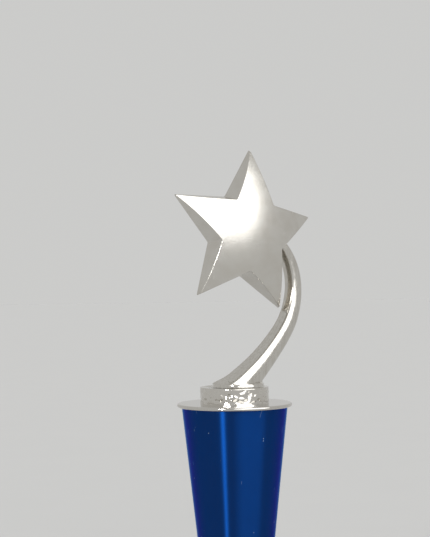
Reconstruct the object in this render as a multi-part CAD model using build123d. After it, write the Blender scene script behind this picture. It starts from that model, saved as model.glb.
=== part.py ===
"""Column trophy: a domed star on a curved stem, a collar, a blue tapered column and a weighted base.

Millimetres. The origin is the middle of the underside, +Z is up and the star faces -Y.
One tie rod pulls the whole stack together, from a nut in the base to an insert in the collar.
"""
from build123d import *
import os
from math import cos, pi, radians, sin, sqrt, tan

# General fits
SLIP = 0.1                      # all round a piece that drops into another
BOLT_PLAY = 0.3                 # all round a rod or screw in a clearance hole
THREAD_PLAY = 0.05              # all round a threaded shank in its own thread
DEBURR = 0.3                    # broken edge on small turned parts
OVERRUN = 1.0                   # how far a blank stands past the surface that trims it

# Base: a moulded weighted foot with a felt pad below it
PAD_THICKNESS = 1.5
PAD_MARGIN = 2.0                # pad edge inside the base edge
BASE_RADIUS = 43.0
BASE_HEIGHT = 34.0
BASE_BAND_HEIGHT = 15.0         # upright band round the foot
BASE_STEP = 2.5                 # ledge between the band and the cove
BASE_TOP_RADIUS = 25.0
BASE_TOP_BAND_HEIGHT = 5.0      # upright band under the top
BASE_ROUNDING = 1.2
BASE_WALL = 4.0
BASE_BOSS_RADIUS = 8.0
COVER_THICKNESS = 1.6           # plate that closes the base from below
COVER_LEDGE = 2.0               # width of the ledge that the cover seats on
WEIGHT_CLEARANCE = 2.0          # all round the weight inside the foot
WEIGHT_HEADROOM = 0.4           # from the weight to the inside of the band's ledge
WEIGHT_BORE = 11.0              # leaves room for a socket on the nut

# Name plate, blank, let into a flat on the foot band
PLATE_WIDTH = 34.0
PLATE_HEIGHT = 10.0
PLATE_THICKNESS = 0.8
PLATE_FLAT_MARGIN = 0.2         # flat showing past each end of the plate

# Column: a thin tapered tube, wide end up
COLUMN_HEIGHT = 115.0
COLUMN_BOTTOM_RADIUS = 16.0
COLUMN_TOP_RADIUS = 28.5
COLUMN_WALL = 1.0
PLUG_HEIGHT = 8.0
PLUG_SETBACK = 3.0              # from either end of the column to the plug
SPIGOT_HEIGHT = 2.0             # locating rim on each disc
SPIGOT_WALL = 1.5

# Discs that close the column
DISC_THICKNESS = 1.9
DISC_RIM_SHARE = 0.45           # rim rounding as a share of the thickness
CAP_DISC_RADIUS = 31.0
FOOT_DISC_RADIUS = 19.0

# Collar: a turned cup, open below, under the figure
COLLAR_RADIUS = 18.5
COLLAR_HEIGHT = 8.7
COLLAR_WALL = 1.4
COLLAR_TOP = 1.8
COLLAR_ROUNDING = 0.6
COLLAR_BOSS_RADIUS = 6.3

# Fastenings
ROD_RADIUS = 2.5
NUT_ACROSS_FLATS = 8.0
NUT_HEIGHT = 4.0
ROD_END = 1.5                   # rod showing past the nut
WASHER_RADIUS = 7.0
WASHER_THICKNESS = 1.0
INSERT_RADIUS = 4.0
INSERT_LENGTH = 5.5
FIGURE_SCREW_RADIUS = 1.5
FIGURE_SCREW_DEPTH = 6.0        # thread inside the figure
FIGURE_SCREW_X = 10.5
SCREW_HEAD_RADIUS = 2.75
SCREW_HEAD_HEIGHT = 1.8
SCREW_SLOT_WIDTH = 0.8
SCREW_SLOT_DEPTH = 0.6
PIP_RADIUS = 1.4                # cast pip that stops the figure turning
PIP_HEIGHT = 1.4
PIP_X = -8.0

# Figure: plinth and curved stem, one casting with a flat back
BACK_Y = 5.0                    # plane of the flat back
PLINTH_X = 2.5
PLINTH_RADIUS = 13.8
PLINTH_FLARE = 0.9              # coved spread at the plinth's foot
PLINTH_HEIGHT = 1.7
FOOT_SLAB_HEIGHT = 1.6
FOOT_SLAB_LEFT_X = -5.0
UPPER_BEND_RADIUS = 42.0
UPPER_BEND_X = 0.75             # centre of the upper bend
UPPER_BEND_Z = 62.5             # above the cap disc
TIP_BEND_RADIUS = 35.0          # tighter bend, above the upper bend's centre
TIP_BEND_TOP = 53.0             # degrees above level, inside the star
BEND_JOIN = -39.0               # degrees, where the upper and lower bends meet
LOWER_BEND_RADIUS = 200.0
LOWER_BEND_END = -54.5          # degrees, below the plinth
STEM_TIP_HALF_WIDTH = 0.95
STEM_JOIN_HALF_WIDTH = 4.0
STEM_TAPER_POWER = 0.6          # under 1: widens fast near the tip, then slowly
STEM_HEEL_SPREAD = 1.33         # extra half width of both sides at the lower end
STEM_TOE_SPREAD = 5.2           # further half width of the left side at the lower end
STEM_TOP_DEPTH = 5.4
STEM_FOOT_DEPTH = 8.8
STEM_SIDE_DRAFT = 1.7           # each side, from the front edge to the back
STEM_CROWN_RADIUS = 16.0
STEM_EDGE_SHARE = 0.5           # edge rounding as a share of the half width
TENON_RADIUS = 1.5
TENON_START = 36.0              # degrees on the tip bend, inside the stem
TENON_LENGTH = 10.0
TENON_DEPTH = 3.3               # its axis, in front of the back

# Star: a hollow casting with a domed face and drafted sides
STAR_X = 9.9
STAR_Z = 91.4                   # above the cap disc
STAR_LEAN = 6.0                 # degrees, top point towards +X
STAR_SIDE_LIFT = 1.0            # degrees, the two side points above a regular star's
STAR_TIP_RADIUS = 47.0          # of the top point
STAR_POINT_EXTRAS = (0.0, 1.2, -1.9, 0.7, -0.8)     # reach of each point past the top one's, anticlockwise
STAR_NOTCH_RADIUS = 23.2
STAR_DOME_HEIGHT = 13.1
STAR_TIP_DEPTH = 1.0            # of the dome above the back, at the radius of the points
STAR_DRAFT = 12.0               # degrees
STAR_TIP_ROUNDING = 0.5
STAR_NOTCH_ROUNDING = 1.5
STAR_EDGE_ROUNDING = 0.4
STAR_WALL = 2.0
STAR_BACK_THICKNESS = 1.0
STAR_SCREW_RADIUS = 1.0
STAR_SCREW_HEAD_RADIUS = 1.9
STAR_SCREW_LENGTH = 6.0
STAR_BOSS_RADIUS = 2.6
STAR_SCREW_SPOTS = ((-13.0, 0.0), (0.0, 17.0), (0.0, -15.0))
STAR_BACK_LEDGE = 0.8           # width of the ledge that the back plate seats on
LOCK_BOSS_RADIUS = 3.2
LOCK_BOSS_START = 2.5           # along the tenon, outside the star
GRUB_RADIUS = 1.2
GRUB_REACH = 7.0                # along the tenon
GRUB_BITE = 0.5                 # into the tenon

# Levels, from the felt pad up
BASE_Z = PAD_THICKNESS
BASE_TOP_Z = BASE_Z + BASE_HEIGHT
COLUMN_Z = BASE_TOP_Z + DISC_THICKNESS
COLUMN_TOP_Z = COLUMN_Z + COLUMN_HEIGHT
CAP_TOP_Z = COLUMN_TOP_Z + DISC_THICKNESS
COLLAR_TOP_Z = CAP_TOP_Z + COLLAR_HEIGHT
PLINTH_TOP_Z = COLLAR_TOP_Z + PLINTH_HEIGHT
INSERT_Z = CAP_TOP_Z + SLIP
ROD_TOP_Z = INSERT_Z + INSERT_LENGTH
WASHER_TOP_Z = BASE_TOP_Z - 2 * BASE_WALL
ROD_Z = WASHER_TOP_Z - WASHER_THICKNESS - NUT_HEIGHT - ROD_END


def turned(points):
    """Solid of revolution about Z from (radius, height) corners."""
    face = make_face(Plane.XZ * Polyline(*points, close=True))
    return revolve(face, Axis.Z)


def disc(radius, low, height, bore=0.0, x=0.0):
    """Upright cylinder standing on level low, with an optional round bore."""
    body = Pos(x, 0, low + height / 2) * Cylinder(radius, height)
    if bore:
        body -= Pos(x, 0, low + height / 2) * Cylinder(bore, 3 * height)
    return body


def rim_edges(body, level, radius):
    """Round edges of a turned body at one level and radius."""
    picked = []
    for edge in body.edges().filter_by(GeomType.CIRCLE):
        at_level = abs(edge.arc_center.Z - level) < 1e-4
        if at_level and abs(edge.radius - radius) < 1e-4:
            picked.append(edge)
    return picked


def column_inner_radius(level):
    """Bore of the tapered column at a height above its lower end."""
    spread = (COLUMN_TOP_RADIUS - COLUMN_BOTTOM_RADIUS) / COLUMN_HEIGHT
    return COLUMN_BOTTOM_RADIUS + spread * level - COLUMN_WALL


# ---------------------------------------------------------------- base


def base_form(inset):
    """Turned form of the foot, or of its cavity when moved in from the outside by inset."""
    band_top = BASE_Z + BASE_BAND_HEIGHT
    sweep_top = BASE_TOP_Z - BASE_TOP_BAND_HEIGHT
    sweep_radius = BASE_RADIUS - BASE_STEP
    band_radius = max(BASE_RADIUS - inset, sweep_radius)
    inner = BASE_TOP_RADIUS - inset
    sweep = EllipticalCenterArc(
        (sweep_radius, sweep_top), sweep_radius - inner, sweep_top - band_top + inset, 180, arc_size=90
    )
    outline = [
        Line((0, BASE_Z), (band_radius, BASE_Z)),
        Line((band_radius, BASE_Z), (band_radius, band_top - inset)),
        sweep,
        Line((inner, sweep_top), (inner, BASE_TOP_Z - inset)),
        Line((inner, BASE_TOP_Z - inset), (0, BASE_TOP_Z - inset)),
        Line((0, BASE_TOP_Z - inset), (0, BASE_Z)),
    ]
    if band_radius > sweep_radius:
        outline.append(Line((band_radius, band_top - inset), (sweep_radius, band_top - inset)))
    return revolve(make_face(Plane.XZ * Wire(outline)), Axis.Z)


def make_base_body():
    """Moulded foot: upright band, ledge, concave sweep and top band, hollow from below."""
    body = base_form(0)
    band_top = rim_edges(body, BASE_Z + BASE_BAND_HEIGHT, BASE_RADIUS)
    body = fillet(band_top + rim_edges(body, BASE_TOP_Z, BASE_TOP_RADIUS), BASE_ROUNDING)
    cavity = base_form(BASE_WALL) & disc(base_cavity_radius(), BASE_Z, BASE_HEIGHT)
    cavity -= disc(BASE_BOSS_RADIUS, WASHER_TOP_Z, BASE_HEIGHT)
    body -= cavity
    body -= disc(cover_radius(), BASE_Z, COVER_THICKNESS)
    body -= disc(ROD_RADIUS + BOLT_PLAY, BASE_Z, 2 * BASE_HEIGHT)
    return body - plate_recess()


def cover_radius():
    """Radius of the rebate that takes the cover."""
    return BASE_RADIUS - BASE_WALL


def base_cavity_radius():
    """Radius of the hollow that holds the weight."""
    return cover_radius() - COVER_LEDGE


def plate_flat_distance():
    """From the axis to the flat, which is a chord of the band a little longer than the plate."""
    half_chord = PLATE_WIDTH / 2 + PLATE_FLAT_MARGIN
    return sqrt(BASE_RADIUS**2 - half_chord**2)


def plate_recess():
    """Flat for the name plate, cut into the front of the band."""
    depth = BASE_RADIUS - plate_flat_distance() + OVERRUN
    middle_y = -plate_flat_distance() - depth / 2
    cutter = Box(PLATE_WIDTH + 2 * PLATE_FLAT_MARGIN, depth, PLATE_HEIGHT + 2 * PLATE_FLAT_MARGIN)
    return Pos(0, middle_y, plate_middle_z()) * cutter


def plate_middle_z():
    return BASE_Z + BASE_BAND_HEIGHT / 2


def make_name_plate():
    """Blank plate glued to the flat."""
    middle_y = -plate_flat_distance() - PLATE_THICKNESS / 2
    plate = Pos(0, middle_y, plate_middle_z()) * Box(PLATE_WIDTH, PLATE_THICKNESS, PLATE_HEIGHT)
    front = plate.faces().sort_by(Axis.Y)[0]
    return chamfer(front.edges(), PLATE_THICKNESS / 4)


def make_base_weight():
    """Steel ring that keeps the trophy upright, resting on the cover."""
    low = BASE_Z + COVER_THICKNESS
    top = BASE_Z + BASE_BAND_HEIGHT - BASE_WALL - WEIGHT_HEADROOM
    radius = base_cavity_radius() - WEIGHT_CLEARANCE
    ring = disc(radius, low, top - low, bore=WEIGHT_BORE)
    return chamfer(rim_edges(ring, top, radius), DEBURR)


def make_base_cover():
    return disc(cover_radius() - SLIP, BASE_Z, COVER_THICKNESS)


def make_felt_pad():
    return disc(BASE_RADIUS - PAD_MARGIN, 0, PAD_THICKNESS)


# ---------------------------------------------------------------- column


def edged_disc(radius, low):
    """Polished disc with a fully rounded rim."""
    plate = disc(radius, low, DISC_THICKNESS)
    edges = rim_edges(plate, low, radius) + rim_edges(plate, low + DISC_THICKNESS, radius)
    return fillet(edges, DISC_RIM_SHARE * DISC_THICKNESS)


def spigot(outer, low):
    """Locating rim that centres a disc in the column's bore."""
    return disc(outer, low, SPIGOT_HEIGHT, bore=outer - SPIGOT_WALL)


def make_foot_disc():
    outer = column_inner_radius(0) - SLIP
    plate = edged_disc(FOOT_DISC_RADIUS, BASE_TOP_Z) + spigot(outer, COLUMN_Z)
    return plate - disc(ROD_RADIUS + BOLT_PLAY, BASE_TOP_Z, DISC_THICKNESS)


def make_cap_disc():
    low = COLUMN_TOP_Z - SPIGOT_HEIGHT
    outer = column_inner_radius(COLUMN_HEIGHT - SPIGOT_HEIGHT) - SLIP
    plate = edged_disc(CAP_DISC_RADIUS, COLUMN_TOP_Z) + spigot(outer, low)
    return plate - disc(ROD_RADIUS + BOLT_PLAY, COLUMN_TOP_Z, DISC_THICKNESS)


def make_column_shell():
    top = COLUMN_Z + COLUMN_HEIGHT
    corners = (
        (column_inner_radius(0), COLUMN_Z),
        (COLUMN_BOTTOM_RADIUS, COLUMN_Z),
        (COLUMN_TOP_RADIUS, top),
        (column_inner_radius(COLUMN_HEIGHT), top),
    )
    return turned(corners)


def make_plug(setback):
    """Tapered plug wedged in the column's bore, guiding the rod."""
    low_radius = column_inner_radius(setback) - SLIP
    high_radius = column_inner_radius(setback + PLUG_HEIGHT) - SLIP
    low = COLUMN_Z + setback
    corners = (
        (ROD_RADIUS + BOLT_PLAY, low),
        (low_radius, low),
        (high_radius, low + PLUG_HEIGHT),
        (ROD_RADIUS + BOLT_PLAY, low + PLUG_HEIGHT),
    )
    return turned(corners)


# ---------------------------------------------------------------- fastenings


def hexagon(across_flats, low, height):
    corner_radius = across_flats / sqrt(3)
    return Pos(0, 0, low) * extrude(RegularPolygon(corner_radius, 6), amount=height)


def make_tie_rod():
    rod = disc(ROD_RADIUS, ROD_Z, ROD_TOP_Z - ROD_Z)
    ends = rim_edges(rod, ROD_Z, ROD_RADIUS) + rim_edges(rod, ROD_TOP_Z, ROD_RADIUS)
    return chamfer(ends, DEBURR)


def make_rod_washer():
    low = WASHER_TOP_Z - WASHER_THICKNESS
    return disc(WASHER_RADIUS, low, WASHER_THICKNESS, bore=ROD_RADIUS + BOLT_PLAY)


def make_rod_nut():
    low = WASHER_TOP_Z - WASHER_THICKNESS - NUT_HEIGHT
    nut = hexagon(NUT_ACROSS_FLATS, low, NUT_HEIGHT)
    return nut - disc(ROD_RADIUS + THREAD_PLAY, low, NUT_HEIGHT)


def make_collar_insert():
    return disc(INSERT_RADIUS, INSERT_Z, INSERT_LENGTH, bore=ROD_RADIUS + THREAD_PLAY)


def make_figure_screw():
    """Pan-head screw from inside the collar up into the stem's foot."""
    seat = COLLAR_TOP_Z - COLLAR_TOP
    head = disc(SCREW_HEAD_RADIUS, seat - SCREW_HEAD_HEIGHT, SCREW_HEAD_HEIGHT, x=FIGURE_SCREW_X)
    edge = rim_edges(head, seat - SCREW_HEAD_HEIGHT, SCREW_HEAD_RADIUS)
    head = fillet(edge, SCREW_HEAD_HEIGHT / 2)
    shank = disc(FIGURE_SCREW_RADIUS, seat, COLLAR_TOP + FIGURE_SCREW_DEPTH, x=FIGURE_SCREW_X)
    slot = Box(2 * SCREW_HEAD_RADIUS, SCREW_SLOT_WIDTH, 2 * SCREW_SLOT_DEPTH)
    return head + shank - Pos(FIGURE_SCREW_X, 0, seat - SCREW_HEAD_HEIGHT) * slot


# ---------------------------------------------------------------- collar


def make_figure_collar():
    """Cup turned from bar: side wall, top plate and a boss for the insert."""
    cup = disc(COLLAR_RADIUS, CAP_TOP_Z, COLLAR_HEIGHT)
    cup = fillet(rim_edges(cup, COLLAR_TOP_Z, COLLAR_RADIUS), COLLAR_ROUNDING)
    hollow = disc(COLLAR_RADIUS - COLLAR_WALL, CAP_TOP_Z, COLLAR_HEIGHT - COLLAR_TOP)
    cup -= hollow - disc(COLLAR_BOSS_RADIUS, CAP_TOP_Z, COLLAR_HEIGHT)
    cup -= disc(INSERT_RADIUS, CAP_TOP_Z, INSERT_LENGTH + SLIP)
    cup -= disc(FIGURE_SCREW_RADIUS + BOLT_PLAY, CAP_TOP_Z, 2 * COLLAR_HEIGHT, x=FIGURE_SCREW_X)
    pip_depth = PIP_HEIGHT + SLIP
    return cup - disc(PIP_RADIUS + SLIP, COLLAR_TOP_Z - pip_depth, pip_depth, x=PIP_X)


# ---------------------------------------------------------------- star


def star_plane(depth=0.0):
    """Plane of the star's back, moved towards the face by depth."""
    origin = (STAR_X, BACK_Y - depth, CAP_TOP_Z + STAR_Z)
    return Plane(origin=origin, x_dir=(1, 0, 0), z_dir=(0, -1, 0))


def star_spot(across, up):
    """Point in the star's leaning axes, in the plane of its back."""
    lean = radians(STAR_LEAN)
    return (across * cos(lean) + up * sin(lean), up * cos(lean) - across * sin(lean))


def star_angle(step):
    """Turn from the top point to a corner of the star, anticlockwise seen from the front."""
    side_lifts = {2: -STAR_SIDE_LIFT, 8: STAR_SIDE_LIFT}
    return step * pi / 5 + radians(side_lifts.get(step, 0.0))


def star_corner(step):
    """Sharp corner of the star's outline: points at even steps, notches at odd ones."""
    radius = STAR_NOTCH_RADIUS if step % 2 else STAR_TIP_RADIUS + STAR_POINT_EXTRAS[step // 2]
    across, up = star_spot(-radius * sin(star_angle(step)), radius * cos(star_angle(step)))
    return Vector(across, up)


def star_outline(inset):
    """Five-pointed outline, moved in by inset all round."""
    corners = [star_corner(step % 10) for step in range(-1, 11)]
    moved = []
    for before, here, after in zip(corners, corners[1:], corners[2:]):
        inward_before = (here - before).normalized().rotate(Axis.Z, 90)
        inward_after = (after - here).normalized().rotate(Axis.Z, 90)
        shift = (inward_before + inward_after) / (1 + inward_before.dot(inward_after))
        moved.append(here + shift * inset)
    return make_face(Polyline(*moved, close=True))


def star_form(inset):
    """Drafted star under its dome, smaller all round by inset, with rounded points and notches."""
    height = STAR_DOME_HEIGHT + OVERRUN
    back = star_plane() * star_outline(inset)
    front = star_plane(height) * star_outline(inset + height * tan(radians(STAR_DRAFT)))
    prism = loft([back, front], ruled=True)
    prism = fillet(side_edges(prism, STAR_NOTCH_RADIUS), STAR_NOTCH_ROUNDING)
    prism = fillet(side_edges(prism, STAR_TIP_RADIUS), STAR_TIP_ROUNDING)
    centre_depth = STAR_DOME_HEIGHT - star_dome_radius()
    poles_sideways = Rot(0, 90, 0) * Rot(90, 0, 0)
    dome = star_plane(centre_depth) * poles_sideways * Sphere(star_dome_radius() - inset)
    return prism & dome


def star_dome_radius():
    """Radius of the sphere through the top of the dome and its rim at the top point."""
    rise = STAR_DOME_HEIGHT - STAR_TIP_DEPTH
    return (STAR_TIP_RADIUS**2 + rise**2) / (2 * rise)


def side_edges(prism, radius):
    """Edges of a star prism that run from back to front at the points or at the notches."""
    middle = Vector(STAR_X, 0, CAP_TOP_Z + STAR_Z)
    half_way = (STAR_TIP_RADIUS + STAR_NOTCH_RADIUS) / 2
    picked = []
    for edge in prism.edges():
        foot = max([edge @ 0, edge @ 1], key=lambda point: point.Y)
        reach = (Vector(foot.X, 0, foot.Z) - middle).length
        runs_forward = abs((edge @ 0).Y - (edge @ 1).Y) > 1
        if runs_forward and (reach > half_way) == (radius > half_way):
            picked.append(edge)
    return picked


def star_solid():
    """The star's outside, with its rim rounded where the dome meets the sides."""
    form = star_form(0)
    dome_face = form.faces().filter_by(GeomType.SPHERE)[0]
    return fillet(dome_face.edges(), STAR_EDGE_ROUNDING)


# ---------------------------------------------------------------- stem


def bend_point(angle):
    """Middle of the stem's back at an angle on its bends: (x, z above the cap disc, outward x, z)."""
    out_x, out_z = cos(radians(angle)), sin(radians(angle))
    centre_x, centre_z, radius = UPPER_BEND_X, UPPER_BEND_Z, UPPER_BEND_RADIUS
    if angle > 0:
        centre_x += UPPER_BEND_RADIUS - TIP_BEND_RADIUS
        radius = TIP_BEND_RADIUS
    elif angle < BEND_JOIN:
        shift = LOWER_BEND_RADIUS - UPPER_BEND_RADIUS
        centre_x -= shift * cos(radians(BEND_JOIN))
        centre_z -= shift * sin(radians(BEND_JOIN))
        radius = LOWER_BEND_RADIUS
    return centre_x + radius * out_x, centre_z + radius * out_z, out_x, out_z


def bend_length(angle):
    """Length along the stem from the level of the upper bend's centre, on the two upper bends."""
    return radians(angle) * (TIP_BEND_RADIUS if angle > 0 else UPPER_BEND_RADIUS)


def stem_half_widths(angle):
    """Left and right half widths of the stem's face; the left side spreads into a toe."""
    if angle >= BEND_JOIN:
        top = bend_length(TIP_BEND_TOP)
        share = (top - bend_length(angle)) / (top - bend_length(BEND_JOIN))
        spread = STEM_JOIN_HALF_WIDTH - STEM_TIP_HALF_WIDTH
        half = STEM_TIP_HALF_WIDTH + spread * share**STEM_TAPER_POWER
        return half, half
    share = (BEND_JOIN - angle) / (BEND_JOIN - LOWER_BEND_END)
    half = STEM_JOIN_HALF_WIDTH + STEM_HEEL_SPREAD * share
    return half + STEM_TOE_SPREAD * share**2, half


def stem_depth(height):
    """Depth of the stem's face edge at a height above the cap disc: deeper below the upper bend."""
    foot = COLLAR_HEIGHT + PLINTH_HEIGHT
    share = max(0.0, (UPPER_BEND_Z - height) / (UPPER_BEND_Z - foot))
    return STEM_TOP_DEPTH + (STEM_FOOT_DEPTH - STEM_TOP_DEPTH) * share**2


def stem_section(angle):
    """Cross-section of the stem: flat back, drafted sides, rounded edges and a crowned face."""
    x, z, out_x, out_z = bend_point(angle)
    left, right = stem_half_widths(angle)
    depth = stem_depth(z)
    middle = (right - left) / 2
    half_chord = (right + left) / 2
    crown = STEM_CROWN_RADIUS - sqrt(STEM_CROWN_RADIUS**2 - half_chord**2)
    sides = [
        Line((-left, depth), (-left - STEM_SIDE_DRAFT, 0)),
        Line((-left - STEM_SIDE_DRAFT, 0), (right + STEM_SIDE_DRAFT, 0)),
        Line((right + STEM_SIDE_DRAFT, 0), (right, depth)),
        ThreePointArc((right, depth), (middle, depth + crown), (-left, depth)),
    ]
    face = make_face(Wire(sides))
    front_corners = face.vertices().sort_by(Axis.Y)[-2:]
    face = fillet(front_corners, STEM_EDGE_SHARE * right)
    direction = (out_z, 0, -out_x)
    return Plane((x, BACK_Y, CAP_TOP_Z + z), x_dir=(out_x, 0, out_z), z_dir=direction) * face


def stem_stations():
    """Angles of the sections, from inside the star down to below the plinth."""
    tip = [TIP_BEND_TOP * (1 - k / 5) for k in range(6)]
    upper = [BEND_JOIN * k / 4 for k in range(1, 5)]
    lower = [BEND_JOIN + k * (LOWER_BEND_END - BEND_JOIN) / 5 for k in range(1, 6)]
    return tip + upper + lower


def stem_sweep():
    return loft([stem_section(angle) for angle in stem_stations()])


def make_swoosh_stem():
    """Plinth, foot and curved stem in one casting, with a tenon that enters the star."""
    body = stem_sweep() - block_below(PLINTH_TOP_Z)
    body += plinth() + foot_slab()
    body -= star_solid()
    body += tenon(TENON_RADIUS, 0, TENON_LENGTH) - grub(THREAD_PLAY)
    bore_depth = PLINTH_HEIGHT + FIGURE_SCREW_DEPTH
    return body - disc(FIGURE_SCREW_RADIUS + THREAD_PLAY, COLLAR_TOP_Z, bore_depth, x=FIGURE_SCREW_X)


def block_below(level):
    """Block that fills the space under a level, down to the surface that the trophy stands on."""
    return Pos(0, 0, level / 2) * Box(level, level, level)


def plinth():
    """Round pad with a coved side and a pip below it."""
    outer = PLINTH_RADIUS + PLINTH_FLARE
    outline = [
        Line((0, COLLAR_TOP_Z), (outer, COLLAR_TOP_Z)),
        EllipticalCenterArc((outer, PLINTH_TOP_Z), PLINTH_FLARE, PLINTH_HEIGHT, 180, arc_size=90),
        Line((PLINTH_RADIUS, PLINTH_TOP_Z), (0, PLINTH_TOP_Z)),
        Line((0, PLINTH_TOP_Z), (0, COLLAR_TOP_Z)),
    ]
    pad = revolve(make_face(Plane.XZ * Wire(outline)), Axis.Z)
    pip = disc(PIP_RADIUS, COLLAR_TOP_Z - PIP_HEIGHT, PIP_HEIGHT, x=PIP_X)
    return Pos(PLINTH_X, 0, 0) * pad + pip


def foot_slab():
    """Upright step at the root of the stem, trimmed to the plinth's outline."""
    width = PLINTH_X + PLINTH_RADIUS - FOOT_SLAB_LEFT_X
    middle_y = BACK_Y - STEM_FOOT_DEPTH / 2
    middle_z = PLINTH_TOP_Z + FOOT_SLAB_HEIGHT / 2
    block = Box(width, STEM_FOOT_DEPTH, FOOT_SLAB_HEIGHT)
    block = Pos(FOOT_SLAB_LEFT_X + width / 2, middle_y, middle_z) * block
    return block & disc(PLINTH_RADIUS, PLINTH_TOP_Z, FOOT_SLAB_HEIGHT, x=PLINTH_X)


def tenon_plane(along):
    """Plane across the tenon at a distance along it."""
    x, z, out_x, out_z = bend_point(TENON_START)
    start = Vector(x, BACK_Y - TENON_DEPTH, CAP_TOP_Z + z)
    direction = Vector(-out_z, 0, out_x)
    return Plane(start + direction * along, z_dir=direction)


def tenon(radius, start, end):
    """Round bar on the tenon's axis, between two distances along it."""
    return extrude(tenon_plane(start) * Circle(radius), amount=end - start)


def grub(play):
    """Set screw through the back of the star onto the tenon, grown by play."""
    tip = TENON_DEPTH - TENON_RADIUS + GRUB_BITE + play
    spot = tenon_plane(GRUB_REACH).origin
    back = Plane((spot.X, BACK_Y, spot.Z), x_dir=(1, 0, 0), z_dir=(0, -1, 0))
    return extrude(back * Circle(GRUB_RADIUS + play), amount=tip)


# ---------------------------------------------------------------- star pieces


def star_bar(spot, radius, low, high):
    """Round bar square to the star's back, between two depths, at a spot in the star's axes."""
    across, up = star_spot(*spot)
    return extrude(star_plane(low) * Pos(across, up) * Circle(radius), amount=high - low)


def star_screw(spot, play):
    """Countersunk screw, flush with the back plate, grown by play."""
    head_height = STAR_SCREW_HEAD_RADIUS - STAR_SCREW_RADIUS
    across, up = star_spot(*spot)
    place = star_plane() * Pos(across, up, head_height / 2)
    head = place * Cone(STAR_SCREW_HEAD_RADIUS + play, STAR_SCREW_RADIUS + play, head_height)
    return head + star_bar(spot, STAR_SCREW_RADIUS + play, head_height, STAR_SCREW_LENGTH + play)


def make_star_shell():
    """Domed face and sides, hollow from the back, with bosses for the screws and the tenon."""
    cavity = star_form(STAR_WALL)
    inside = cavity - plate_form(0)
    shell = star_solid() - cavity - plate_form(0)
    for spot in STAR_SCREW_SPOTS:
        boss = star_bar(spot, STAR_BOSS_RADIUS, STAR_BACK_THICKNESS, STAR_DOME_HEIGHT)
        shell += boss & inside
        shell -= star_screw(spot, THREAD_PLAY)
    shell += tenon(LOCK_BOSS_RADIUS, LOCK_BOSS_START, TENON_LENGTH + STAR_WALL) & inside
    shell -= tenon(TENON_RADIUS + THREAD_PLAY, 0, TENON_LENGTH + SLIP)
    return shell - grub(THREAD_PLAY)


def plate_form(clearance):
    """Outline of the back plate or, with no clearance, of the recess that takes it."""
    inset = STAR_WALL - STAR_BACK_LEDGE + clearance
    return extrude(star_plane() * star_outline(inset), amount=STAR_BACK_THICKNESS)


def make_star_back_plate():
    plate = plate_form(SLIP)
    for spot in STAR_SCREW_SPOTS:
        plate -= star_screw(spot, SLIP)
    return plate - grub(SLIP)


def make_star_back_screws():
    return Compound([star_screw(spot, 0) for spot in STAR_SCREW_SPOTS])


def make_star_grub_screw():
    return grub(0)


PIECES = {
    "felt_pad": make_felt_pad,
    "base_cover": make_base_cover,
    "base_weight": make_base_weight,
    "base_body": make_base_body,
    "name_plate": make_name_plate,
    "foot_disc": make_foot_disc,
    "column_lower_plug": lambda: make_plug(PLUG_SETBACK),
    "column_shell": make_column_shell,
    "column_upper_plug": lambda: make_plug(COLUMN_HEIGHT - PLUG_SETBACK - PLUG_HEIGHT),
    "cap_disc": make_cap_disc,
    "tie_rod": make_tie_rod,
    "rod_washer": make_rod_washer,
    "rod_nut": make_rod_nut,
    "figure_collar": make_figure_collar,
    "collar_insert": make_collar_insert,
    "figure_screw": make_figure_screw,
    "swoosh_stem": make_swoosh_stem,
    "star_shell": make_star_shell,
    "star_back_plate": make_star_back_plate,
    "star_back_screws": make_star_back_screws,
    "star_grub_screw": make_star_grub_screw,
}


def main():
    os.makedirs("parts", exist_ok=True)
    for name, make in PIECES.items():
        piece = make()
        export_step(piece, f"parts/{name}.step")
        print(f"{name}: {piece.volume / 1000:.2f} cm3")


main()
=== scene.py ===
"""Column trophy: finishes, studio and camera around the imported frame.

Metres, +Z up, the star faces -Y. Each piece is the CAD model's own, dressed by the slot it is made in,
apart from the collar: a copy of the CAD model's, with the dents of its casting.
Azimuths are in degrees round the column, 0 in front of the trophy and 90 on its right, at +X.
"""
from math import cos, pi, radians, sin

import bmesh
import bpy
from mathutils import Matrix, Vector, noise


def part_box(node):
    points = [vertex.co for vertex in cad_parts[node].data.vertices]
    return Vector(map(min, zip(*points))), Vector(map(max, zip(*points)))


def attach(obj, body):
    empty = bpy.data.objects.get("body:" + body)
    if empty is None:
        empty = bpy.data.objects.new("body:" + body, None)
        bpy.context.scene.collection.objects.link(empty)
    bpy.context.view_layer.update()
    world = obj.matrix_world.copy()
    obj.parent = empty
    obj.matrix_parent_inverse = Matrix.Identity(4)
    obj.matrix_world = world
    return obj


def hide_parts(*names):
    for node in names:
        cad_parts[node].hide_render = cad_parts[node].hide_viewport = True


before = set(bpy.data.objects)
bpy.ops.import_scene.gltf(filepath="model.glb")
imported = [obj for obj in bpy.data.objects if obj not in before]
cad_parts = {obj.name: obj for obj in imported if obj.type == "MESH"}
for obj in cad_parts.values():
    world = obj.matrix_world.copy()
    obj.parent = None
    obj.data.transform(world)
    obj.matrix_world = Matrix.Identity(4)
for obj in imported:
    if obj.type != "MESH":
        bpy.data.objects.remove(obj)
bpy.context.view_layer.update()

MM = 0.001

# Camera, from the front left
CAMERA_AZIMUTH = -33.5          # degrees round the column
CAMERA_DISTANCE = 0.6493
CAMERA_ABOVE_DISC = 0.0573      # above the cap disc
CAMERA_PITCH = 1.335            # degrees above level
CAMERA_PAN = 0.855              # degrees to the left of the axis
CAMERA_ROLL = -0.70
CAMERA_LENS = 80.6              # millimetres on a 36 mm sensor

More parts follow.
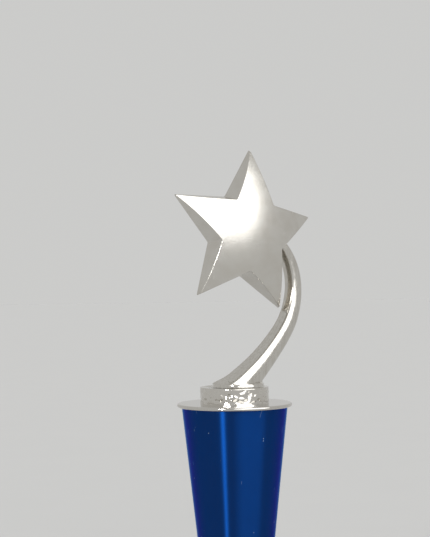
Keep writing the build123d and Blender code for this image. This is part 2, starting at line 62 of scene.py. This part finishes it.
# Floor, background and lamps, which metal mirrors as they are; the three shares add up to 1
PALE = (0.60, 0.60, 0.59)       # floor and background
FLOOR_REACH = 40.0              # from the middle to each side
AMBIENT = 0.62                  # share of the plain level that comes from all round
KEY_SHARE = 0.32                # of the wide soft lamp, front right
KEY_PLACE = (5, 29)             # azimuth and elevation, degrees
KEY_ANGLE = 70                  # degrees across
FILL_SHARE = 0.06               # of the narrow low lamp, front left
FILL_PLACE = (-60, 11)
FILL_ANGLE = 9

NICKEL = (0.64, 0.62, 0.58)     # bright plating, clean

# Dents in the collar's casting
DENT_DEPTH = 0.55 * MM          # of the deepest
DENT_LENGTH = 2.6 * MM
DENT_START = 0.97               # share of the collar's radius beyond which it is dented
DENT_FADE = 0.9 * MM            # height over which the dents fade towards both edges
DENT_ROWS = 22                  # cuts across the collar's side
DENT_SEED = Vector((3.7, 1.9, 8.3))
WELD = 0.0001 * MM              # points closer than this are one
SHARP_EDGE = 40                 # degrees between faces from which their edge is sharp


# ---------------------------------------------------------------- collar


def on_side(edge, radius):
    """Whether an edge of the collar runs up its outer side."""
    first, second = (vert.co for vert in edge.verts)
    outside = min(first.xy.length, second.xy.length) > DENT_START * radius
    return outside and abs(first.z - second.z) > DENT_FADE


def sunk(point, low, high):
    """A point of the collar, moved inwards where its side is dented."""
    if point.xy.length < DENT_START * high.x:
        return point
    fade = min(1.0, (point.z - low.z) / DENT_FADE, (high.z - point.z) / DENT_FADE)
    depth = DENT_DEPTH * fade * max(0.0, noise.noise(point / DENT_LENGTH + DENT_SEED))
    inwards = Vector((point.x, point.y, 0)).normalized()
    return point - inwards * depth


def make_collar(material):
    """The CAD model's collar, hollow and bores included, with real dents in its outer side."""
    low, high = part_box("figure_collar")
    work = bmesh.new()
    work.from_mesh(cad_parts["figure_collar"].data)
    bmesh.ops.remove_doubles(work, verts=work.verts, dist=WELD)
    side = [edge for edge in work.edges if on_side(edge, high.x)]
    bmesh.ops.subdivide_edges(work, edges=side, cuts=DENT_ROWS, use_grid_fill=True)
    for vert in work.verts:
        vert.co = sunk(vert.co, low, high)
    mesh = bpy.data.meshes.new("cast_collar")
    work.to_mesh(mesh)
    work.free()
    mesh.polygons.foreach_set("use_smooth", [True] * len(mesh.polygons))
    mesh.set_sharp_from_angle(angle=radians(SHARP_EDGE))
    mesh.materials.clear()
    mesh.materials.append(material)
    collar = bpy.data.objects.new("cast_collar", mesh)
    bpy.context.scene.collection.objects.link(collar)
    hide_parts("figure_collar")
    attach(collar, "root")


# ---------------------------------------------------------------- nodes


def add(tree, kind, inputs=None, **settings):
    """New node with settings, and inputs given as values or as sockets to link from."""
    node = tree.nodes.new(kind)
    for name, value in settings.items():
        setattr(node, name, value)
    for name, value in (inputs or {}).items():
        if isinstance(value, bpy.types.NodeSocket):
            tree.links.new(value, node.inputs[name])
        else:
            node.inputs[name].default_value = value
    return node


def maths(tree, operation, first, second=0.0):
    return add(tree, "ShaderNodeMath", {0: first, 1: second}, operation=operation).outputs[0]


def ramp(tree, value, low, high, start=0.0, end=1.0):
    """Smooth step of value from low..high to start..end."""
    inputs = {"Value": value, "From Min": low, "From Max": high, "To Min": start, "To Max": end}
    return add(tree, "ShaderNodeMapRange", inputs, interpolation_type="SMOOTHSTEP").outputs["Result"]


def mixed(tree, share, first, second):
    """Colour mix: first at 0, second at 1."""
    node = add(tree, "ShaderNodeMix", data_type="RGBA")
    for index, value in ((0, share), (6, first), (7, second)):
        if isinstance(value, bpy.types.NodeSocket):
            tree.links.new(value, node.inputs[index])
        else:
            node.inputs[index].default_value = (*value, 1)
    return node.outputs[2]


# ---------------------------------------------------------------- studio


def make_world():
    """The pale background for the camera and in mirrors, and plain light from all round for the rest."""
    world = bpy.data.worlds.new("studio")
    world.use_nodes = True
    tree = world.node_tree
    path = add(tree, "ShaderNodeLightPath")
    sharp = maths(tree, "MAXIMUM", path.outputs["Is Glossy Ray"], path.outputs["Is Transmission Ray"])
    seen = maths(tree, "MAXIMUM", path.outputs["Is Camera Ray"], sharp)
    colour = mixed(tree, seen, (AMBIENT,) * 3, PALE)
    tree.links.new(colour, tree.nodes["Background"].inputs["Color"])
    bpy.context.scene.world = world


def make_lamp(name, place, angle, share):
    """Distant round soft lamp that adds a share of the plain level to level surfaces."""
    azimuth, elevation = (radians(angle) for angle in place)
    data = bpy.data.lights.new(name, "SUN")
    data.angle = radians(angle)
    data.energy = share * pi / sin(elevation)
    lamp = bpy.data.objects.new(name, data)
    back = Vector((sin(azimuth) * cos(elevation), -cos(azimuth) * cos(elevation), sin(elevation)))
    lamp.rotation_mode = "QUATERNION"
    lamp.rotation_quaternion = back.to_track_quat("Z", "Y")
    bpy.context.scene.collection.objects.link(lamp)


def make_floor():
    """Matt paper that takes the trophy's shadow."""
    mesh = bpy.data.meshes.new("floor")
    corners = [(x * FLOOR_REACH, y * FLOOR_REACH, 0) for x, y in ((-1, -1), (1, -1), (1, 1), (-1, 1))]
    mesh.from_pydata(corners, [], [(0, 1, 2, 3)])
    floor = bpy.data.objects.new("floor", mesh)
    mesh.materials.append(paper_finish())
    bpy.context.scene.collection.objects.link(floor)


def make_camera():
    """Camera with its height taken from the cap disc."""
    data = bpy.data.cameras.new("photo_camera")
    data.lens = CAMERA_LENS
    data.sensor_width = 36
    camera = bpy.data.objects.new("photo_camera", data)
    bpy.context.scene.collection.objects.link(camera)
    azimuth = radians(CAMERA_AZIMUTH)
    place = Vector((sin(azimuth), -cos(azimuth), 0)) * CAMERA_DISTANCE
    place.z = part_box("cap_disc")[1].z + CAMERA_ABOVE_DISC
    turn = Matrix.Rotation(azimuth + radians(CAMERA_PAN), 4, "Z")
    tilt = Matrix.Rotation(radians(90 + CAMERA_PITCH), 4, "X")
    roll = Matrix.Rotation(radians(CAMERA_ROLL), 4, "Z")
    camera.matrix_world = Matrix.Translation(place) @ turn @ tilt @ roll
    bpy.context.scene.camera = camera


# ---------------------------------------------------------------- finishes


class Finish:
    """A material under way: its shader, and the coordinates that its patterns use."""

    def __init__(self, name, **constants):
        self.material = bpy.data.materials.new(name)
        self.material.use_nodes = True
        self.tree = self.material.node_tree
        self.shader = self.tree.nodes["Principled BSDF"]
        self.place = add(self.tree, "ShaderNodeTexCoord").outputs["Object"]
        self.height = None
        for socket, value in constants.items():
            self.shader.inputs[socket.replace("_", " ")].default_value = value

    def stretched(self, scale, turn=(0, 0, 0)):
        inputs = {"Vector": self.place, "Scale": scale, "Rotation": [radians(angle) for angle in turn]}
        return add(self.tree, "ShaderNodeMapping", inputs).outputs[0]

    def noise(self, scale, detail=3.0, place=None, distortion=0.0):
        inputs = {"Vector": place or self.place, "Scale": scale, "Detail": detail, "Distortion": distortion}
        return add(self.tree, "ShaderNodeTexNoise", inputs).outputs[0]

    def cells(self, scale, place=None, feature="F1"):
        inputs = {"Vector": place or self.place, "Scale": scale}
        return add(self.tree, "ShaderNodeTexVoronoi", inputs, feature=feature)

    def specks(self, scale, size, rarity):
        """1 on sparse round specks."""
        cells = self.cells(scale)
        chance = add(self.tree, "ShaderNodeSeparateColor", {0: cells.outputs["Color"]}).outputs[0]
        dots = ramp(self.tree, cells.outputs["Distance"], size * 0.6, size, 1.0, 0.0)
        return maths(self.tree, "MULTIPLY", dots, maths(self.tree, "GREATER_THAN", chance, rarity))

    def scratches(self, scale, width, turn, rarity=0.6):
        """1 on sparse thin bent lines."""
        along = self.stretched((1, 1, 0.35), turn)
        bent = add(self.tree, "ShaderNodeVectorMath", {0: along}, operation="ADD")
        drift = add(self.tree, "ShaderNodeTexNoise", {"Vector": self.place, "Scale": scale / 3})
        push = add(self.tree, "ShaderNodeVectorMath", {0: drift.outputs["Color"]}, operation="SCALE")
        push.inputs["Scale"].default_value = 0.6 / scale
        self.tree.links.new(push.outputs[0], bent.inputs[1])
        edge = self.cells(scale, bent.outputs[0], "DISTANCE_TO_EDGE").outputs["Distance"]
        lines = ramp(self.tree, edge, width * 0.3, width, 1.0, 0.0)
        patches = ramp(self.tree, self.noise(scale * 2), rarity, rarity + 0.04)
        return maths(self.tree, "MULTIPLY", lines, patches)

    def colour(self, share, first, second):
        self.tree.links.new(mixed(self.tree, share, first, second), self.shader.inputs["Base Color"])

    def marked(self, share, colour):
        """Lay a colour over the one so far."""
        before = self.shader.inputs["Base Color"].links[0].from_socket
        self.tree.links.new(mixed(self.tree, share, before, colour), self.shader.inputs["Base Color"])

    def vary(self, socket, share, low, high, start=0.3, end=0.7):
        value = ramp(self.tree, share, start, end, low, high)
        self.tree.links.new(value, self.shader.inputs[socket])

    def bump(self, height, depth):
        """Add relief of a depth in millimetres."""
        inputs = {"Height": height, "Strength": 1.0, "Distance": depth * MM}
        node = add(self.tree, "ShaderNodeBump", inputs)
        if self.height is not None:
            self.tree.links.new(self.height, node.inputs["Normal"])
        self.height = node.outputs[0]
        self.tree.links.new(self.height, self.shader.inputs["Normal"])


def paper_finish():
    """Matt, with the faintest clouds, so that it is level with the background."""
    finish = Finish("floor_paper", Roughness=1.0, Specular_IOR_Level=0.0)
    darker, lighter = (tuple(share * value for value in PALE) for share in (0.99, 1.01))
    finish.colour(finish.noise(12), darker, lighter)
    return finish.material


def cast_chrome(name, waviness, grain, roughness):
    """Bright nickel plating over a zinc casting: soft waves, fine grain, faint wear."""
    finish = Finish(name, Metallic=1.0, IOR=1.5)
    tone = ramp(finish.tree, finish.noise(140, 4), 0.35, 0.7)
    finish.colour(tone, NICKEL, (0.61, 0.585, 0.54))
    finish.marked(finish.specks(420, 0.12, 0.95), (0.45, 0.43, 0.40))
    finish.vary("Roughness", finish.noise(260, 5), roughness, roughness * 1.12)
    finish.bump(finish.noise(110, 2), waviness)
    finish.bump(finish.noise(1000, 4), grain)
    finish.bump(finish.specks(600, 0.22, 0.85), -2 * grain)
    finish.bump(finish.scratches(160, 0.02, (20, 0, 35)), -0.002)
    return finish.material


def stem_chrome():
    """The same plating, drawn out lengthwise by polishing."""
    finish = Finish("stem_plating", Metallic=1.0, IOR=1.5)
    along = finish.stretched((1, 1, 0.12), (0, 28, 0))
    streaks = finish.noise(900, 3, along)
    finish.colour(ramp(finish.tree, streaks, 0.3, 0.75), NICKEL, (0.56, 0.535, 0.49))
    finish.vary("Roughness", finish.noise(260, 5), 0.07, 0.16)
    finish.bump(finish.noise(120, 2), 0.03)
    finish.bump(streaks, 0.006)
    return finish.material


def disc_chrome():
    """Mirror plating on a spun disc, with hair scratches."""
    finish = Finish("disc_mirror", Metallic=1.0, IOR=1.5)
    finish.colour(finish.noise(90, 4), NICKEL, (0.58, 0.56, 0.53))
    finish.marked(finish.specks(300, 0.12, 0.92), (0.45, 0.44, 0.42))
    finish.vary("Roughness", finish.noise(200, 5), 0.03, 0.09)
    finish.bump(finish.noise(60, 1), 0.01)
    finish.bump(finish.scratches(90, 0.015, (0, 0, 20)), -0.002)
    return finish.material


def blue_lacquer():
    """Candy blue on sheet rolled round the column, under thin lacquer, with hair scratches and dust.

    Its grain runs round the column, so that reflections stay crisp across it and are drawn out lengthwise.
    """
    grain_round = {"Anisotropic": 1.0, "Anisotropic_Rotation": 0.25}
    lacquer = {"Coat_Weight": 0.12, "Coat_Roughness": 0.03}
    finish = Finish("blue_lacquer", IOR=1.5, Specular_Tint=(0.05, 0.40, 1.0, 1), **grain_round, **lacquer)
    grain = add(finish.tree, "ShaderNodeTangent", direction_type="RADIAL", axis="Z")
    finish.tree.links.new(grain.outputs[0], finish.shader.inputs["Tangent"])
    finish.colour(finish.noise(70, 3), (0.002, 0.034, 0.165), (0.002, 0.039, 0.19))
    scratches = finish.scratches(70, 0.012, (8, 14, 0), 0.60)
    dust = finish.specks(330, 0.10, 0.94)
    marks = maths(finish.tree, "MAXIMUM", maths(finish.tree, "MULTIPLY", scratches, 0.35), dust)
    finish.marked(marks, (0.22, 0.30, 0.42))
    finish.vary("Metallic", marks, 1.0, 0.25, 0.0, 1.0)
    finish.vary("Roughness", finish.noise(240, 5), 0.29, 0.32)
    finish.bump(finish.noise(50, 1, finish.stretched((1, 1, 0.2))), 0.004)
    finish.bump(scratches, -0.003)
    return finish.material


def black_gloss():
    """Moulded black plastic with a polished skin, faint orange peel and dust."""
    finish = Finish("black_gloss", IOR=1.5)
    finish.colour(finish.noise(120, 5), (0.010, 0.010, 0.011), (0.020, 0.020, 0.021))
    finish.marked(finish.specks(260, 0.10, 0.93), (0.12, 0.12, 0.12))
    finish.vary("Roughness", finish.noise(300, 6), 0.10, 0.22)
    finish.bump(finish.noise(600, 2), 0.006)
    finish.bump(finish.scratches(110, 0.014, (0, 0, 12)), -0.003)
    return finish.material


def brushed_plate():
    """Blank aluminium plate, brushed from side to side."""
    finish = Finish("brushed_blank", Metallic=1.0, IOR=1.5)
    lines = finish.noise(5200, 2, finish.stretched((0.012, 1, 1)))
    finish.colour(lines, (0.80, 0.80, 0.81), (0.66, 0.66, 0.67))
    finish.vary("Roughness", lines, 0.24, 0.36)
    finish.bump(lines, 0.004)
    return finish.material


def dense_felt():
    finish = Finish("dense_felt", Roughness=1.0, Sheen_Weight=0.25)
    fibres = finish.noise(2600, 6, distortion=1.5)
    finish.colour(ramp(finish.tree, fibres, 0.3, 0.7), (0.018, 0.018, 0.020), (0.050, 0.050, 0.054))
    finish.bump(fibres, 0.25)
    return finish.material


def zinc_steel():
    finish = Finish("zinc_steel", Metallic=1.0, IOR=1.5)
    spangle = add(finish.tree, "ShaderNodeSeparateColor", {0: finish.cells(520).outputs["Color"]}).outputs[0]
    finish.colour(spangle, (0.58, 0.60, 0.63), (0.70, 0.71, 0.72))
    finish.vary("Roughness", spangle, 0.26, 0.42)
    finish.bump(finish.noise(1400, 3), 0.008)
    return finish.material


def turned_brass():
    finish = Finish("turned_brass", Metallic=1.0, IOR=1.5)
    lines = finish.noise(3600, 2, finish.stretched((0.05, 0.05, 1)))
    finish.colour(finish.noise(200, 4), (0.80, 0.60, 0.28), (0.66, 0.46, 0.19))
    finish.vary("Roughness", lines, 0.20, 0.34)
    finish.bump(lines, 0.006)
    return finish.material


def moulded_plastic():
    finish = Finish("moulded_plastic", IOR=1.48)
    finish.colour(finish.noise(90, 4), (0.030, 0.030, 0.032), (0.045, 0.045, 0.047))
    finish.vary("Roughness", finish.noise(500, 4), 0.42, 0.58)
    finish.bump(finish.noise(1800, 3), 0.012)
    return finish.material


def ballast_steel():
    finish = Finish("ballast_steel", Metallic=1.0, IOR=1.5)
    rust = ramp(finish.tree, finish.noise(70, 6), 0.5, 0.68)
    finish.colour(rust, (0.34, 0.34, 0.35), (0.24, 0.14, 0.09))
    finish.vary("Roughness", finish.noise(160, 5), 0.38, 0.62)
    finish.bump(finish.noise(700, 5), 0.03)
    return finish.material


def dress():
    """Give every CAD node its finish, by the slot it is made in, and put the dented collar in its place."""
    finishes = {
        "felt": dense_felt(),
        "inner_plastic": moulded_plastic(),
        "ballast_steel": ballast_steel(),
        "black_base": black_gloss(),
        "blank_plate": brushed_plate(),
        "disc_plating": disc_chrome(),
        "blue_metallic": blue_lacquer(),
        "zinc_steel": zinc_steel(),
        "collar_plating": cast_chrome("collar_plating", 0.06, 0.008, 0.10),
        "brass": turned_brass(),
        "figure_plating": cast_chrome("figure_plating", 0.035, 0.020, 0.24),
    }
    stem = stem_chrome()
    for name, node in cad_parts.items():
        slot = node.data.materials[0].name.split(".")[0]
        node.data.materials.clear()
        node.data.materials.append(stem if name == "swoosh_stem" else finishes[slot])
    make_collar(finishes["collar_plating"])


dress()
make_floor()
make_world()
make_lamp("key", KEY_PLACE, KEY_ANGLE, KEY_SHARE)
make_lamp("fill", FILL_PLACE, FILL_ANGLE, FILL_SHARE)
make_camera()
bpy.context.scene.view_settings.view_transform = "Standard"
